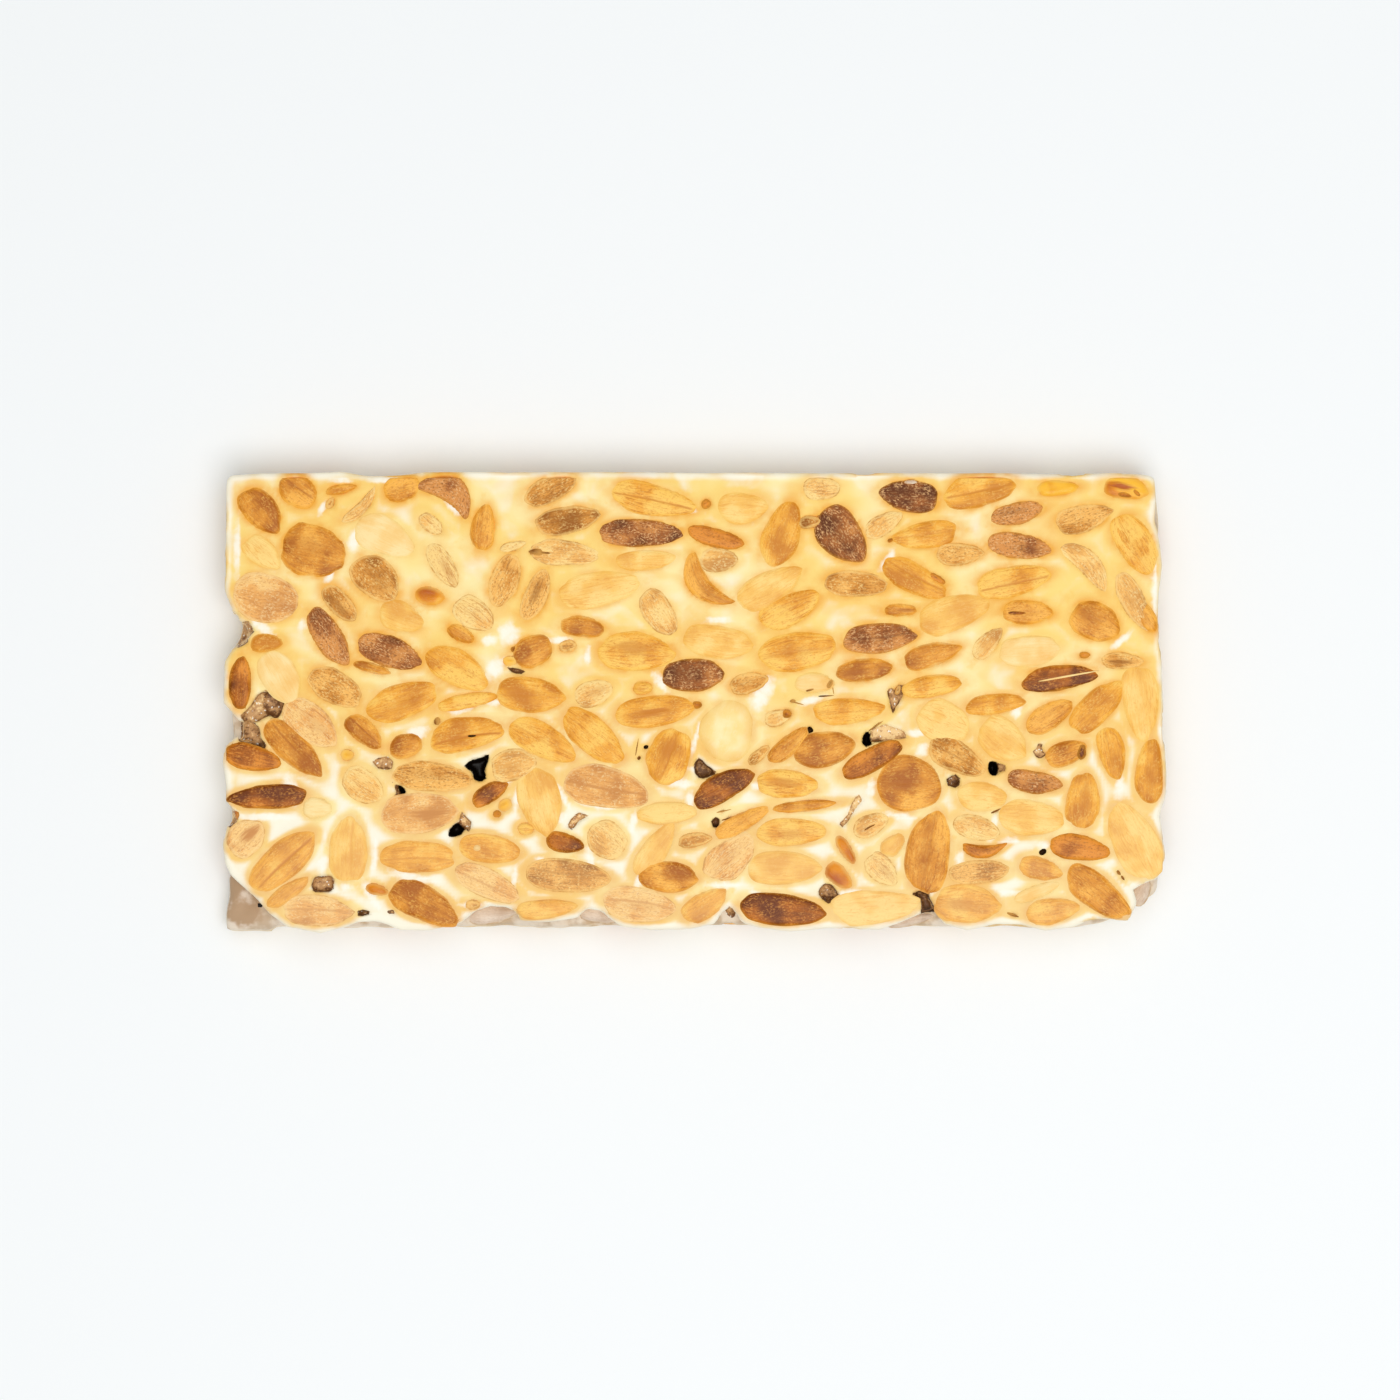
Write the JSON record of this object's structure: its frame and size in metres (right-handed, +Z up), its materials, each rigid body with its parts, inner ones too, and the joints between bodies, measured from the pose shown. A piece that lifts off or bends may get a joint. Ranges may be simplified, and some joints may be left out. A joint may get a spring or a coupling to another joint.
{
  "type": "nougat bar",
  "caption": "Rectangular slab of hard almond nougat, pressed flat, with whole and split toasted almonds showing in its faces and edges.",
  "frame": {"origin": "middle of the flat underside, at the height of the surface that the bar lies on", "axes": "+X along the bar, +Y across it, +Z up through its thickness"},
  "size_m": [0.2, 0.0978, 0.015],
  "materials": {
    "nougat": "satin",
    "almond": "satin",
    "almond_skin": "matte",
    "honey": "gloss"
  },
  "bodies": {
    "root": {"nougat_bar": "nougat"}
  },
  "joints": []
}
